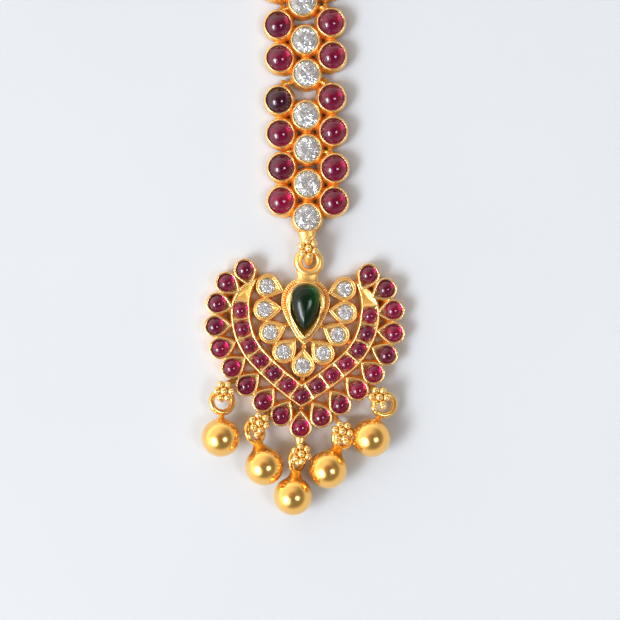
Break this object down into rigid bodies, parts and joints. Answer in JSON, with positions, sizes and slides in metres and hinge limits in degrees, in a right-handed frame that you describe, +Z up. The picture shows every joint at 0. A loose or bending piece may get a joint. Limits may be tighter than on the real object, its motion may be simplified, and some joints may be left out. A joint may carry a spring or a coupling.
{
  "type": "forehead ornament (maang tikka)",
  "caption": "Gold forehead ornament: a strand of linked stone clusters ending in a heart-shaped openwork pendant hung with polished balls, and a wire hair hook at the far end.",
  "frame": {"origin": "on the flat back of the pendant, under the round end of the green stone", "axes": "+Z up from the back to the stones, +Y along the strand away from the balls, +X to the right seen from above"},
  "size_m": [0.0322, 0.1668, 0.0062],
  "materials": {
    "gold": "polished yellow gold, soldered, with deeper orange in the recesses",
    "polished_gold": "mirror-polished yellow gold",
    "red_stone": "polished ruby cabochon, foil backed",
    "white_stone": "faceted colourless stone, foil backed",
    "green_stone": "polished emerald cabochon, foil backed"
  },
  "bodies": {
    "root": {"channel_rubies": "red_stone", "drop_1": "polished_gold", "drop_2": "polished_gold", "drop_3": "polished_gold", "drop_4": "polished_gold", "drop_5": "polished_gold", "emerald": "green_stone", "hair_hook": "gold", "hook_ring": "gold", "link_1_frame": "gold", "link_1_rubies": "red_stone", "link_1_white_stones": "white_stone", "link_2_frame": "gold", "link_2_rubies": "red_stone", "link_2_white_stones": "white_stone", "link_3_frame": "gold", "link_3_rubies": "red_stone", "link_3_white_stones": "white_stone", "link_4_frame": "gold", "link_4_rubies": "red_stone", "link_4_white_stones": "white_stone", "link_5_frame": "gold", "link_5_rubies": "red_stone", "link_5_white_stones": "white_stone", "link_6_frame": "gold", "link_6_rubies": "red_stone", "link_6_white_stones": "white_stone", "link_7_frame": "gold", "link_7_rubies": "red_stone", "link_7_white_stones": "white_stone", "link_8_frame": "gold", "link_8_rubies": "red_stone", "link_8_white_stones": "white_stone", "link_9_frame": "gold", "link_9_rubies": "red_stone", "link_9_white_stones": "white_stone", "link_rings_1": "gold", "link_rings_2": "gold", "link_rings_3": "gold", "link_rings_4": "gold", "link_rings_5": "gold", "link_rings_6": "gold", "link_rings_7": "gold", "link_rings_8": "gold", "outer_rubies": "red_stone", "pendant_frame": "gold", "pendant_white_stones": "white_stone"}
  },
  "joints": []
}
